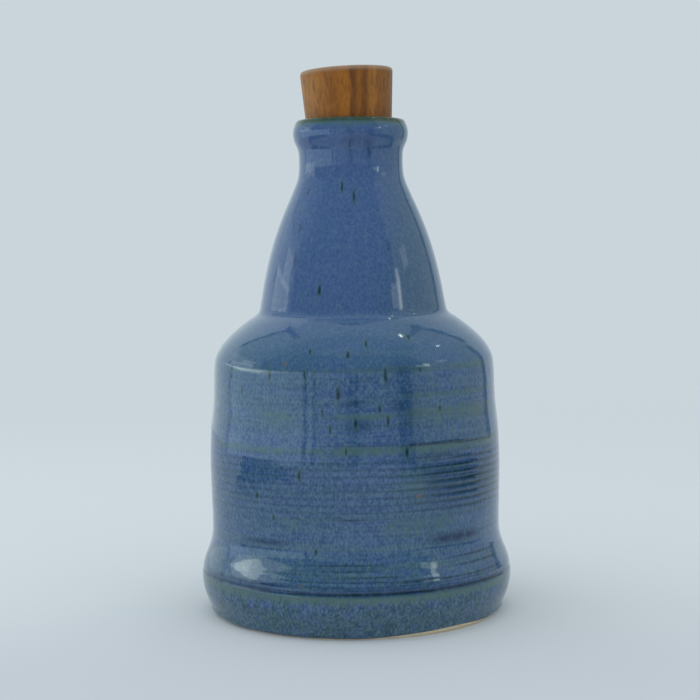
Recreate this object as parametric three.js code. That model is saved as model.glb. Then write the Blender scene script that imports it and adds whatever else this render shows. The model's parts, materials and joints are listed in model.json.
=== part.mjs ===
// A wheel-thrown stoneware bottle, glazed down to its bare foot, with a turned wooden stopper.
// Units are millimetres, +Z is up, and the origin is the centre of the foot on the table.
import * as THREE from "three";

// The bottle's height to its mouth, and how far each station of the clay outside rises above the one below it;
// the straight upper body takes the height that is left
const BOTTLE_HEIGHT = 195.2;
const BARE_FOOT_RISE = 1.6;
const SWELL_RISE = 12.9;
const WAIST_RISE = 20;
const BULGE_RISE = 26;
const CREASE_RISE = 21.7;
const CONE_RISE = 47.3;
const NECK_RISE = 14.7;
const LIP_RISE = 8.5;
const MOUTH_RISE = 5;

// Radii of the clay outside: the body's own, and how far other stations stand out of it or in from it
const BODY_RADIUS = 57.75;
const FOOT_INSET = 1.1;
const FOOT_BEVEL = 1.6;
const SWELL_OUT = 4;
const WAIST_INSET = 0.45;
const BODY_TOP_INSET = 2.05;
const CREASE_RADIUS = 37.2;
const NECK_RADIUS = 20.4;
const CONE_FLARE = 2.7;
const LIP_OUT = 2.2;
const LIP_INSET = 1;
const LIP_ROUNDING = 0.9;

// How the wall leans at its slanted stations, in millimetres of radius lost for each millimetre of height
const SHOULDER_LEAN = 1.35;
const CONE_FOOT_LEAN = 0.17;
const CONE_TOP_LEAN = 0.47;
const CREASE_BLEND = 3.2;

// The clay's thickness, the foot ring under it and the glaze fired onto it
const BODY_WALL = 6;
const NECK_WALL = 3;
const FLOOR_THICKNESS = 8;
const FLOOR_FILLET = 10;
const FOOT_RING_WIDTH = 11;
const FOOT_RECESS = 1.2;
const MOUTH_FLARE = 1.6;
const GLAZE = 0.4;

// The stopper, its groove and the ring that seals it in the neck
const HEAD_HEIGHT = 20.2;
const PLUG_TAIL = 3.2;
const PLUG_CLEARANCE = 0.85;
const PLUG_CHAMFER = 1;
const STOPPER_TAPER = 3.9;
const STOPPER_LEAN = 2.3;
const TOP_ROUNDING = 1.4;
const SEAL_DEPTH = 12.6;
const SEAL_HEIGHT = 3;
const SEAL_BULGE = 0.5;
const GROOVE_DEPTH = 1.4;
const FIT_CLEARANCE = 0.3;

// Faces around every turned piece
const FACETS = 36;

// The share of a rise over which a curve keeps the direction that it leaves or arrives with
const EVEN_PULL = 0.45;
const FOOT_PULL = 0.2;
const SWELL_PULL = 0.5;
const SHOULDER_PULL = 0.43;
const SLOPE_PULL = 0.24;
const CONE_PULL = 0.38;

const at = (radius, height) => new THREE.Vector2(radius, height);

const finish = (color, roughness) => new THREE.MeshStandardMaterial({ color, roughness, metalness: 0 });

// A curve between two stations that leaves with one lean and arrives with another; no lean is upright.
function wall(from, to, { leave = EVEN_PULL, leaveLean = 0, arrive = EVEN_PULL, arriveLean = 0 } = {}) {
  const rise = to.y - from.y;
  const first = at(from.x - leaveLean * leave * rise, from.y + leave * rise);
  const second = at(to.x + arriveLean * arrive * rise, to.y - arrive * rise);
  return new THREE.CubicBezierCurve(from, first, second, to);
}

const corner = (from, tip, to) => new THREE.QuadraticBezierCurve(from, tip, to);

// The points of a chain of curves, each with its own number of steps, with the shared ends kept once.
function trace(chain) {
  const points = [];
  for (const [curve, steps] of chain) {
    const run = curve.getPoints(steps);
    points.push(...(points.length ? run.slice(1) : run));
  }
  return points;
}

// The points moved square to their line, to the left of its direction, by thickness(share of the way along).
function offset(points, thickness) {
  return points.map((point, i) => {
    const before = points[Math.max(i - 1, 0)];
    const after = points[Math.min(i + 1, points.length - 1)];
    const along = after.clone().sub(before).normalize();
    const amount = thickness(i / (points.length - 1));
    return at(point.x - along.y * amount, point.y + along.x * amount);
  });
}

// A solid turned about +Z from an outline that runs anticlockwise in radius and height.
function turned(name, outline, material) {
  const geometry = new THREE.LatheGeometry(outline, FACETS);
  geometry.rotateX(Math.PI / 2);
  const mesh = new THREE.Mesh(geometry, material);
  mesh.name = name;
  return mesh;
}

// Stations of the clay outside, up from the table and down from the mouth
const footRadius = BODY_RADIUS - FOOT_INSET;
const glazeLine = at(footRadius + FOOT_BEVEL, BARE_FOOT_RISE);
const swell = at(BODY_RADIUS + SWELL_OUT, glazeLine.y + SWELL_RISE);
const waist = at(BODY_RADIUS - WAIST_INSET, swell.y + WAIST_RISE);
const bulge = at(BODY_RADIUS, waist.y + BULGE_RISE);
const lip = at(NECK_RADIUS + LIP_OUT, BOTTLE_HEIGHT - MOUTH_RISE);
const neck = at(NECK_RADIUS, lip.y - LIP_RISE);
const coneTop = at(NECK_RADIUS + CONE_FLARE, neck.y - NECK_RISE);
const crease = at(CREASE_RADIUS, coneTop.y - CONE_RISE);
const bodyTop = at(BODY_RADIUS - BODY_TOP_INSET, crease.y - CREASE_RISE);
const boreRadius = NECK_RADIUS - NECK_WALL;
const mouthRadius = boreRadius + MOUTH_FLARE;
const lipTop = at((lip.x - LIP_INSET + mouthRadius) / 2, BOTTLE_HEIGHT);

// The bare foot: a shallow recess inside a flat ring, with its outer edge bevelled up to the glaze
const footOutline = [
  at(0, FOOT_RECESS),
  at(footRadius - FOOT_RING_WIDTH - FOOT_RECESS, FOOT_RECESS),
  at(footRadius - FOOT_RING_WIDTH, 0),
  at(footRadius, 0),
];

const lowerWall = trace([
  [wall(glazeLine, swell, { leave: FOOT_PULL, arrive: SWELL_PULL }), 4],
  [wall(swell, waist), 5],
]);

const shoulderFoot = at(crease.x + (SHOULDER_LEAN * CREASE_BLEND) / 2, crease.y - CREASE_BLEND / 2);
const coneFoot = at(crease.x - CONE_FOOT_LEAN * CREASE_BLEND, crease.y + CREASE_BLEND);
const shoulderBend = { leave: SHOULDER_PULL, arrive: SLOPE_PULL, arriveLean: SHOULDER_LEAN };
const coneBend = {
  leave: CONE_PULL,
  leaveLean: CONE_FOOT_LEAN,
  arrive: CONE_PULL,
  arriveLean: CONE_TOP_LEAN,
};
const upperWall = trace([
  [wall(waist, bulge), 2],
  [wall(bulge, bodyTop), 3],
  [wall(bodyTop, shoulderFoot, shoulderBend), 6],
  [corner(shoulderFoot, crease, coneFoot), 3],
  [wall(coneFoot, coneTop, coneBend), 5],
  [wall(coneTop, neck, { leaveLean: CONE_TOP_LEAN }), 3],
]);

const lipEdge = at(lip.x - LIP_INSET, BOTTLE_HEIGHT - LIP_ROUNDING);
const lipOutline = trace([
  [wall(neck, lip), 4],
  [corner(lip, at(lip.x, (lip.y + lipEdge.y) / 2), lipEdge), 2],
  [corner(lipEdge, at(lipEdge.x, BOTTLE_HEIGHT), lipTop), 2],
]);

// The inside follows the outside with a wall that thins from the body to the neck, in half as many rings.
const wallThickness = (share) => THREE.MathUtils.lerp(BODY_WALL, NECK_WALL, share);
const innerWall = offset(upperWall, wallThickness).reverse().filter((point, i) => i % 2 === 0);
const cavityRadius = waist.x - BODY_WALL;
const boreTop = at(mouthRadius, lipEdge.y);
const boreFoot = at(boreRadius, neck.y);
const boreOutline = trace([
  [corner(lipTop, at(mouthRadius, BOTTLE_HEIGHT), boreTop), 2],
  [new THREE.LineCurve(boreTop, boreFoot), 2],
]);
const floorFillet = corner(
  at(cavityRadius, FLOOR_THICKNESS + FLOOR_FILLET),
  at(cavityRadius, FLOOR_THICKNESS),
  at(cavityRadius - FLOOR_FILLET, FLOOR_THICKNESS),
);
const floorOutline = [...floorFillet.getPoints(4), at(0, FLOOR_THICKNESS)];

// The thrown and fired clay
const glazedOutline = [...lowerWall, ...upperWall.slice(1), ...lipOutline.slice(1), ...boreOutline.slice(1)];
const clayOutline = [...footOutline, ...glazedOutline, ...innerWall.slice(1), ...floorOutline];
const bottleBody = turned("bottle_body", clayOutline, finish(0xd9cbb0, 0.85));

// The glaze, from the edge of the bare foot over the lip and down the bore to the narrowest part of the neck
const glazeFace = offset(glazedOutline, () => -GLAZE);
const glazeOutline = [...glazeFace, ...glazedOutline.slice().reverse(), glazeFace[0]];
const glazeCoat = turned("glaze_coat", glazeOutline, finish(0x4d6488, 0.15));

// The stopper's own frame stands in the middle of the sealing ring, with the stopper's axis as its height
const sealHeight = BOTTLE_HEIGHT - SEAL_DEPTH;
const boreAtSeal = THREE.MathUtils.mapLinear(sealHeight, neck.y, boreTop.y, boreRadius, mouthRadius) - GLAZE;
const plugRadius = boreAtSeal - PLUG_CLEARANCE;
const grooveRadius = plugRadius - GROOVE_DEPTH;
const grooveHalf = SEAL_HEIGHT / 2 + FIT_CLEARANCE;
const plugFoot = -grooveHalf - PLUG_TAIL;
const headTop = SEAL_DEPTH + HEAD_HEIGHT;
const taper = Math.tan(THREE.MathUtils.degToRad(STOPPER_TAPER));
const onTaper = (height) => at(plugRadius + taper * height, height);

const topEdge = corner(
  onTaper(headTop - TOP_ROUNDING),
  onTaper(headTop),
  at(onTaper(headTop).x - TOP_ROUNDING, headTop),
);
const stopperOutline = [
  at(0, plugFoot),
  at(onTaper(plugFoot).x - PLUG_CHAMFER, plugFoot),
  onTaper(plugFoot + PLUG_CHAMFER),
  onTaper(-grooveHalf),
  at(grooveRadius, -grooveHalf),
  at(grooveRadius, grooveHalf),
  onTaper(grooveHalf),
  ...topEdge.getPoints(4),
  at(0, headTop),
];
const stopper = turned("stopper", stopperOutline, finish(0x7d4b22, 0.45));

// The ring sits in its groove and bulges towards the bore that it seals against
const sealInner = grooveRadius + FIT_CLEARANCE;
const sealOuter = boreAtSeal - FIT_CLEARANCE;
const sealHalf = SEAL_HEIGHT / 2;
const sealFace = corner(
  at(sealOuter - SEAL_BULGE, -sealHalf),
  at(sealOuter + SEAL_BULGE, 0),
  at(sealOuter - SEAL_BULGE, sealHalf),
);
const sealBack = [at(sealInner, sealHalf), at(sealInner, -sealHalf)];
const sealOutline = [...sealBack, ...sealFace.getPoints(6), sealBack[0]];
const sealRing = turned("seal_ring", sealOutline, finish(0xdedbd2, 0.5));

const stopperFrame = new THREE.Group();
stopperFrame.position.z = sealHeight;
stopperFrame.rotation.y = -THREE.MathUtils.degToRad(STOPPER_LEAN);
stopperFrame.add(stopper, sealRing);

const bottle = new THREE.Group();
bottle.add(bottleBody, glazeCoat, stopperFrame);

export default bottle;
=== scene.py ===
# %% [markdown]
# # A stoneware bottle with a wooden stopper
# A potter threw this bottle on a wheel, glazed it blue and closed it with a turned wooden stopper.
# Its solids come in as a fixed frame: they say where each piece is and how it moves.
# Blender's part is the skin, so each solid is measured, replaced by a finer mesh and given its finish.

# %% Load the frame
import json
import math
import random

import bmesh
import bpy
import numpy as np
from mathutils import Matrix, Vector


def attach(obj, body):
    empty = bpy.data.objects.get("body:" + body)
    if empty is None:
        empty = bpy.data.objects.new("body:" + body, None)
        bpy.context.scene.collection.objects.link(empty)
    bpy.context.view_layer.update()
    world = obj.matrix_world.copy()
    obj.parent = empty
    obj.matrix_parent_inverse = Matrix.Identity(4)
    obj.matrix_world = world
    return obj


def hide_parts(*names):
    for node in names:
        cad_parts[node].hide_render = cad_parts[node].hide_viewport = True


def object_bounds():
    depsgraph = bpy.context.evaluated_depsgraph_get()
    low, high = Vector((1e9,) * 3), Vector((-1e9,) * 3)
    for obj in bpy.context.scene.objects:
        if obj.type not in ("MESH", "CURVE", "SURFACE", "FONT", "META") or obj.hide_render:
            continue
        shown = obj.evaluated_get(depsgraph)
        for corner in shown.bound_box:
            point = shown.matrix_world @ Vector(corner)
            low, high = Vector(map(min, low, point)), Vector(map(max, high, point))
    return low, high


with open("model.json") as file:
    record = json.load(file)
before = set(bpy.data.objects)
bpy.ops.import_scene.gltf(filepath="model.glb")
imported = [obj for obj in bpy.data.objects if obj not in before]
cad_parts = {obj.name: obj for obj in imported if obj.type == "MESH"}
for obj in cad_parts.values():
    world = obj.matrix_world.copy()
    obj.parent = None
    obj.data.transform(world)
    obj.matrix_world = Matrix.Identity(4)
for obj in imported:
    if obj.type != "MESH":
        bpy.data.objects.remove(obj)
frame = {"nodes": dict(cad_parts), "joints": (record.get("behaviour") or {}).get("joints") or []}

cad_low, cad_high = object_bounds()
print("solids:", sorted(frame["nodes"]), "from", cad_low[:], "to", cad_high[:])

# %% [markdown]
# ## The camera
# The camera looks slightly down at the front of the bottle and hangs a little out of level.
# Its distance sets how much of the foot and the lip curves, so it is found before any detail is placed.
# Its matrix is three directions and a place, which says the tilt and the roll without any angles to order.

# %% Place the camera
IMAGE_WIDTH = 700  # px
FOCAL_LENGTH = 1544  # px
BOTTLE_ACROSS = 353.44  # px, where the bottle's axis crosses the middle row
SENSOR_WIDTH = 36  # mm
NEAREST_SEEN = 0.01  # m
CAMERA_DISTANCE = 0.620  # m
CAMERA_HEIGHT = 0.144  # m
CAMERA_TILT = math.radians(3.7)
CAMERA_ROLL = math.radians(0.82)

camera = bpy.data.objects.new("camera", bpy.data.cameras.new("camera"))
camera.data.sensor_width = SENSOR_WIDTH
camera.data.lens = FOCAL_LENGTH / IMAGE_WIDTH * SENSOR_WIDTH
camera.data.clip_start = NEAREST_SEEN
turn_left = math.atan((BOTTLE_ACROSS - IMAGE_WIDTH / 2) / FOCAL_LENGTH)
ahead = Vector((-math.sin(turn_left), math.cos(turn_left), -math.tan(CAMERA_TILT))).normalized()
right = Vector((math.cos(turn_left), math.sin(turn_left), 0))
up = right.cross(ahead)
across = right * math.cos(CAMERA_ROLL) - up * math.sin(CAMERA_ROLL)
upright = right * math.sin(CAMERA_ROLL) + up * math.cos(CAMERA_ROLL)
facing = Matrix((across, upright, -ahead)).transposed().to_4x4()
camera.matrix_world = Matrix.Translation((0, -CAMERA_DISTANCE, CAMERA_HEIGHT)) @ facing
bpy.context.collection.objects.link(camera)
bpy.context.scene.camera = camera
print("camera lens", round(camera.data.lens, 1), "mm")

# %% [markdown]
# ## Outlines of the turned solids
# Every piece here is turned about an axis, so one outline in radius and height says all of its shape.
# The outline could be typed in again, but then it could drift from the solid that it dresses.
# So it is read from the solid: the corners on its front seam are walked from edge to edge.

# %% Read an outline from a solid
SEAM_WIDTH = 2e-6  # m
OUTLINE_DIGITS = 6


def seam_outline(node, stand=Matrix.Identity(4)):
    """The corners (radius, height) of a turned solid's front seam, from its lowest corner outwards."""
    mesh = frame["nodes"][node].data
    own = stand.inverted()
    seam = {}
    for vertex in mesh.vertices:
        spot = own @ vertex.co
        if abs(spot.x) < SEAM_WIDTH and spot.y < SEAM_WIDTH:
            seam[vertex.index] = (round(-spot.y, OUTLINE_DIGITS), round(spot.z, OUTLINE_DIGITS))
    joined = {corner: set() for corner in seam.values()}
    for edge in mesh.edges:
        ends = [seam.get(i) for i in edge.vertices]
        if None not in ends and ends[0] != ends[1]:
            joined[ends[0]].add(ends[1])
            joined[ends[1]].add(ends[0])
    loose = [corner for corner in joined if len(joined[corner]) == 1]
    walk = [min(loose or joined, key=lambda corner: corner[1])]
    while True:
        ahead_of = [corner for corner in joined[walk[-1]] if corner not in walk]
        if not ahead_of:
            return np.array(walk)
        walk.append(max(ahead_of))


glaze_loop = seam_outline("glaze_coat")
clay_line = seam_outline("bottle_body")
print("glaze corners", len(glaze_loop), "clay corners", len(clay_line))

# %% [markdown]
# A solid's outline is made of short straight steps, which would show as rings in a glossy glaze.
# A Hermite curve through the same corners rounds them off without moving them.
# Corners that are meant to be sharp, such as the groove's in the stopper, turn too far for that and stay.

# %% Smooth an outline
MM = 0.001  # m
SHARP_TURN = math.radians(40)
FINE_STEP = 0.45 * MM
COARSE_STEP = 0.8 * MM
FINE_BELOW = 75 * MM


def smooth_outline(corners, step):
    """Points along a smooth curve through the corners, about step(height) apart."""
    chord = np.diff(corners, axis=0)
    length = np.linalg.norm(chord, axis=1)
    unit = chord / length[:, None]
    leave, arrive = unit.copy(), unit.copy()
    bends = np.arccos(np.clip((unit[1:] * unit[:-1]).sum(1), -1, 1)) < SHARP_TURN
    for i in np.flatnonzero(bends):
        tangent = chord[i] + chord[i + 1]
        arrive[i] = leave[i + 1] = tangent / np.linalg.norm(tangent)
    points = []
    for i in range(len(chord)):
        count = max(1, round(length[i] / step(corners[i, 1])))
        t = np.arange(count)[:, None] / count
        points.append(
            (2 * t**3 - 3 * t**2 + 1) * corners[i]
            + (t**3 - 2 * t**2 + t) * leave[i] * length[i]
            + (3 * t**2 - 2 * t**3) * corners[i + 1]
            + (t**3 - t**2) * arrive[i] * length[i]
        )
    return np.vstack([*points, corners[-1:]])


turn_at = int(np.argmin(glaze_loop[:, 0]))
outer_line = smooth_outline(
    glaze_loop[: turn_at + 1], lambda height: FINE_STEP if height < FINE_BELOW else COARSE_STEP
)
inner_line = glaze_loop[turn_at + 1 :]
print("the glaze's face has", len(outer_line), "rings")

# %% [markdown]
# ## From an outline to a mesh
# An outline becomes a mesh by turning it: each point makes a ring, and neighbouring rings share faces.
# A Screw modifier would do that too, but here each point of the grid can also move by itself.
# That is what lets a wall carry throwing rings, a wandering glaze edge or a worn corner as real geometry.
# The mesh can also hold values at its points, such as where the glaze is thin, for a material to read.

# %% Turn a grid of points into a mesh
WELD = 1e-8  # m


def around(columns):
    """Angles round the axis, 0 at the front and positive to the right."""
    return np.linspace(-math.pi, math.pi, columns, endpoint=False)[None, :]


def outline_normals(points):
    """Unit normals to the right of an outline's direction, which is outwards on a wall that rises."""
    along = np.gradient(points, axis=0)
    along /= np.linalg.norm(along, axis=1)[:, None]
    return np.stack([along[:, 1], -along[:, 0]], axis=1)


def turned_piece(name, radius, height, closed, stand=Matrix.Identity(4), **values):
    """A mesh from grids of radius and height, a row for each point of the outline, with values on it."""
    rows, columns = radius.shape
    angle = around(columns)
    points = np.stack([radius * np.sin(angle), -radius * np.cos(angle), height], axis=-1).reshape(-1, 3)
    points = points @ np.array(stand.to_3x3()).T + np.array(stand.translation)
    here = np.arange(rows * columns).reshape(rows, columns)
    above = np.roll(here, -1, axis=0) if closed else here[1:]
    below = here if closed else here[:-1]
    faces = np.stack([below, np.roll(below, -1, 1), np.roll(above, -1, 1), above], axis=-1).reshape(-1, 4)
    mesh = bpy.data.meshes.new(name)
    mesh.from_pydata(points.tolist(), [], faces.tolist())
    for label, grid in values.items():
        stored = mesh.attributes.new(label, "FLOAT", "POINT")
        stored.data.foreach_set("value", np.ascontiguousarray(grid, np.float32).ravel())
    if not closed:
        work = bmesh.new()
        work.from_mesh(mesh)
        bmesh.ops.remove_doubles(work, verts=work.verts, dist=WELD)
        work.to_mesh(mesh)
        work.free()
    mesh.shade_smooth()
    piece = bpy.data.objects.new(name, mesh)
    bpy.context.collection.objects.link(piece)
    print(name, "has", len(mesh.vertices), "points and", len(mesh.polygons), "faces")
    return piece


normal = outline_normals(outer_line)
print("at its edge the glaze faces", normal[0].round(2), "in radius and height")

# %% [markdown]
# ## What the potter's hands left
# Fingers and a rib leave rings on a thrown wall, and fine lines where the rib chattered.
# The glaze runs off each ridge and gathers below it: thin and green there, and deep blue in the hollows.
# Each mark below has the angles that it runs between, its height, its spread and how strong it is.

# %% Marks that show from the front
ALL_ROUND = (-400, 400)  # degrees, far enough past the back that no end shows

GREEN_LINES = [
    (*ALL_ROUND, 99.8, 0.9, 0.5),
    (2, 70, 100.2, 1.4, 0.55),
    (18, 80, 90.4, 0.8, 0.7),
    (20, 80, 95.0, 4.0, 0.35),
    (20, 80, 77.0, 4.0, 0.35),
    (16, 76, 84.0, 2.6, 0.75),
    (-10, 18, 83.0, 1.0, 0.75),
    (-42, -22, 83.5, 3.0, 0.55),
    (-16, -11, 89.0, 3.0, 0.5),
    (*ALL_ROUND, 70.4, 1.2, 0.55),
    (-12, 78, 70.6, 1.6, 0.8),
    (*ALL_ROUND, 45.2, 0.8, 0.35),
    (14, 72, 58.0, 8.0, 0.5),
    (-30, -16, 44.0, 2.6, 0.45),
    (10, 42, 43.0, 3.6, 0.6),
    (*ALL_ROUND, 34.0, 0.8, 0.4),
    (*ALL_ROUND, 26.0, 6.0, 0.4),
    (*ALL_ROUND, 16.2, 1.4, 0.9),
    (*ALL_ROUND, 7.0, 4.5, 0.4),
    (*ALL_ROUND, 194.6, 1.5, 1.0),
    (-34, 8, 192.4, 1.0, 0.4),
]
DARK_LINES_AND_REFLECTIONS = [
    (19, 48, 71.9, 0.5, 1.0),
    (40, 62, 71.4, 0.4, 0.9),
    (-12, 18, 72.2, 0.3, 0.45),
    (20, 42, 67.2, 0.8, 0.6),
    (18, 26, 91.4, 0.3, 0.8),
    (-30, -18, 93.4, 0.3, 0.45),
    (-7, 3, 44.8, 0.4, 0.9),
    (-6, 1, 49.5, 0.35, 0.7),
    (-16, 8, 28.1, 0.3, 0.75),
    (-11, 8, 26.0, 0.3, 0.8),
    (-4, 16, 23.9, 0.35, 0.8),
    (-30, 30, 22.2, 0.3, 0.6),
    (-34, -8, 24.8, 0.25, 0.5),
    # Painted reflection: the black card on the right, mirrored at the waist.
    (31, 52, 35.8, 1.2, 0.35),
    (36, 64, 28.4, 0.35, 0.8),
    (38, 64, 25.4, 0.4, 0.9),
    (14, 66, 21.6, 0.35, 0.9),
    (-24, 66, 20.4, 0.3, 0.6),
    (*ALL_ROUND, 18.1, 0.5, 0.6),
    (-64, -10, 19.8, 0.5, 0.35),
    (-14, 66, 18.0, 0.6, 1.0),
    (*ALL_ROUND, 195.4, 0.8, 0.6),
]
# Deep blue where the glaze pooled; some of these are painted reflections, as marked below.
POOLS_AND_PAINTED_REFLECTIONS = [
    (*ALL_ROUND, 18.1, 0.9, 1.0),
    # Painted reflection: these four deepen the tent's dark gap, mirrored as an upright stripe on the right.
    (17, 24, 86.0, 15.0, 0.5),
    (16, 23, 99.6, 2.0, 0.8),
    (15, 22, 86.5, 3.5, 0.8),
    (17, 23, 78.0, 3.5, 0.8),
    # Pooled glaze in and above the groove.
    (-60, -26, 20.0, 1.0, 0.9),
    (-14, 40, 19.3, 0.7, 0.7),
    # Painted reflection: these two are the black cards, mirrored as dark patches at the waist.
    (-46, -28, 35.4, 1.0, 0.9),
    (30, 53, 35.8, 1.9, 1.0),
    # Pooled glaze on the right and round the neck.
    (28, 66, 56.5, 9.0, 0.55),
    (-3, 3, 186.5, 3.5, 0.7),
    (6, 11, 187.0, 3.0, 0.6),
    (14, 22, 185.5, 4.0, 0.7),
    # Painted reflection: these two dark patches at the front are the camera.
    (-3, 4, 88.0, 1.6, 0.8),
    (-2, 5, 79.5, 2.4, 1.0),
]
print(len(GREEN_LINES) + len(DARK_LINES_AND_REFLECTIONS) + len(POOLS_AND_PAINTED_REFLECTIONS), "marks on the front")

# %% [markdown]
# The photograph shows less than half of the bottle, but the wheel treats every side alike.
# So the back gets marks of the same kinds, at the heights where the front has them.
# A random generator with a fixed seed places them, so that every run makes the same bottle.

# %% Marks on the back
BACK = (82, 278)  # degrees
BACK_GREEN = (99.8, 90.4, 84.0, 83.0, 70.6, 56.0, 44.0, 42.0)  # mm
BACK_DARK = (91.4, 71.9, 67.2, 49.5, 44.8, 28.3, 26.0, 25.4, 23.9, 21.6, 20.5)  # mm
BACK_POOLS = (20.0, 19.4, 35.6, 62.0, 87.0)  # mm
MARK_SEED = 11

chance = random.Random(MARK_SEED)


def mark_back(marks, heights, lengths, spreads, strengths, wander=0):
    """Adds a mark near each height; lengths, spreads and strengths are the least and the most."""
    for middle_height in heights:
        middle = chance.uniform(*BACK)
        half = chance.uniform(*lengths) / 2
        if wander:
            middle_height += chance.uniform(-wander, wander)
        span = (max(middle - half, BACK[0]), min(middle + half, BACK[1]))
        marks.append((*span, middle_height, chance.uniform(*spreads), chance.uniform(*strengths)))


mark_back(GREEN_LINES, BACK_GREEN, lengths=(30, 110), spreads=(0.9, 2.6), strengths=(0.4, 0.8), wander=1)
mark_back(DARK_LINES_AND_REFLECTIONS, BACK_DARK, lengths=(12, 60), spreads=(0.3, 0.5), strengths=(0.5, 0.9), wander=0.5)
mark_back(POOLS_AND_PAINTED_REFLECTIONS, BACK_POOLS, lengths=(14, 40), spreads=(0.7, 1.6), strengths=(0.5, 0.8))
print(len(GREEN_LINES) + len(DARK_LINES_AND_REFLECTIONS) + len(POOLS_AND_PAINTED_REFLECTIONS), "marks in all")

# %% [markdown]
# A mark is strongest along its middle: it fades quickly at its ends and softly above and below.
# Thin glaze also runs, so a green line fades further downwards than upwards.

# %% Find how strongly the marks show
GLAZE_COLUMNS = 240
MARK_SOFTNESS = 2.0  # degrees over which a mark fades at its ends
GREEN_RUN = 1.8  # how much further a thin place fades downwards than upwards


def rise(value, soft):
    """A soft step from 0 to 1 as the value passes 0."""
    return 0.5 + 0.5 * np.tanh(value / soft / 2)


def bell(offset, reach):
    """1 in the middle and less on both sides of it."""
    return np.exp(-((offset / reach) ** 2))


def marks_at(marks, degrees, height, run=1.0):
    """How strongly a list of marks shows at each angle and height, from 0 to 1."""
    shown = np.zeros(np.broadcast(degrees, height).shape)
    for first, last, middle, spread, strength in marks:
        reach = np.where(height < middle, spread * run, spread)
        level = strength * bell(height - middle, reach)
        for lap in (0, 360):
            ends = rise(degrees + lap - first, MARK_SOFTNESS) * rise(last - degrees - lap, MARK_SOFTNESS)
            shown = np.maximum(shown, level * ends)
    return shown


angle = around(GLAZE_COLUMNS)
degrees = np.degrees(angle)
height = outer_line[:, 1:] / MM
green_marks = marks_at(GREEN_LINES, degrees, height, GREEN_RUN)
dark_and_reflection_marks = marks_at(DARK_LINES_AND_REFLECTIONS, degrees, height)
pool_and_reflection_marks = marks_at(POOLS_AND_PAINTED_REFLECTIONS, degrees, height)
print("green covers", round(green_marks.mean(), 2), "and dark lines", round(dark_and_reflection_marks.mean(), 2))

# %% [markdown]
# The marks are also relief: a thin place is a ridge and a dark line is a shallow groove.
# The depths are hundredths of a millimetre, which a gloss shows at once because it bends what it mirrors.
# Real geometry does that better than a bump map, and it stays true in a close view.

# %% Relief of the wall
GREEN_RIDGE = 0.03  # mm
DARK_GROOVE = 0.05  # mm
RING_HEIGHTS = (22, 100)  # mm between which the fingers left their rings
RING_FADE = 2  # mm
RING_SPACING = 7.3  # mm
RING_DEPTH = 0.015  # mm
RING_WANDER = 0.4  # radians of a ring's wave
COMB_HEIGHTS = (46.0, 67.0)  # mm between which the rib chattered
COMB_FADE = 0.8  # mm
COMB_SPACING = 2.65  # mm
COMB_DEPTH = 0.032  # mm
COMB_SIDE = 60  # degrees, where the chatter is strongest
COMB_SPREAD = 30  # degrees
COMB_FAINT = 0.2  # how strong it is elsewhere
GROOVE_HEIGHT = 18.1  # mm
GROOVE_DEPTH = 0.13  # mm
GROOVE_REACH = 0.7  # mm
DISH_HEIGHT = 119.7  # mm, where a finger pressed the cone's foot into the shoulder
DISH_DEPTH = 0.34  # mm
DISH_REACH = 1.7  # mm


def between(height, ends, soft):
    """1 between two heights and 0 beyond them."""
    return rise(height - ends[0], soft) * rise(ends[1] - height, soft)


def wave(way, spacing, phase=0.0):
    """Rings or lines at an even spacing, from -1 to 1."""
    return np.cos(2 * math.pi * way / spacing + phase)


rings = between(height, RING_HEIGHTS, RING_FADE) * wave(height, RING_SPACING, RING_WANDER * np.sin(angle))
comb_strength = COMB_FAINT + (1 - COMB_FAINT) * bell(degrees - COMB_SIDE, COMB_SPREAD)
comb = between(height, COMB_HEIGHTS, COMB_FADE) * wave(height - COMB_HEIGHTS[0], COMB_SPACING) * comb_strength
relief = RING_DEPTH * rings + COMB_DEPTH * comb + GREEN_RIDGE * green_marks - DARK_GROOVE * dark_and_reflection_marks
relief = relief - GROOVE_DEPTH * bell(height - GROOVE_HEIGHT, GROOVE_REACH)
relief = relief - DISH_DEPTH * bell(height - DISH_HEIGHT, DISH_REACH)
print("relief from", round(relief.min(), 3), "to", round(relief.max(), 3), "mm")

# %% [markdown]
# ## The glaze
# The glaze is a skin less than half a millimetre thick, from the foot over the lip and into the mouth.
# On its way down it thins to a rounded edge, which is higher on the right, where a strip of clay is bare.
# So the lowest rings slide along the clay's own outline, down onto its bevel, further in some places.

# %% Shape the glaze's edges
EDGE_THINNING = 0.26  # mm taken off the glaze at its very edge
EDGE_LENGTH = 0.5  # mm
EDGE_BEAD = 0.1  # mm
BEAD_PLACE = 1.6  # mm above the edge
BEAD_REACH = 0.9  # mm
FOOT_CREEP = 1.75  # mm that the glaze runs down the foot's bevel, away from the bare strip
CREEP_REACH = 6.0  # mm of wall that moves with it
BARE_MIDDLE = 36  # degrees
BARE_HALF = 44  # degrees from the strip's middle to its ends
BARE_RISE = 0.6  # mm that the glaze stops short of the bevel in the strip's middle
EDGE_WAVES = [(0.12, 5, 0), (0.1, 13, 1)]  # mm, how many there are round the foot, phase
WALL_ONLY = 40 * MM  # radius beyond which a ring belongs to the outside wall's foot
FOOT_CORNERS = 8  # corners of the clay from the foot's edge to well above the reach


def way_along(points):
    """How far along an outline each of its points is."""
    return np.concatenate([[0], np.cumsum(np.linalg.norm(np.diff(points, axis=0), axis=1))])


from_edge = way_along(outer_line)[:, None] / MM
for way in (from_edge, from_edge[-1] - from_edge):
    relief = relief - EDGE_THINNING * np.exp(-way / EDGE_LENGTH)
relief = relief + EDGE_BEAD * bell(from_edge - BEAD_PLACE, BEAD_REACH)

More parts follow.
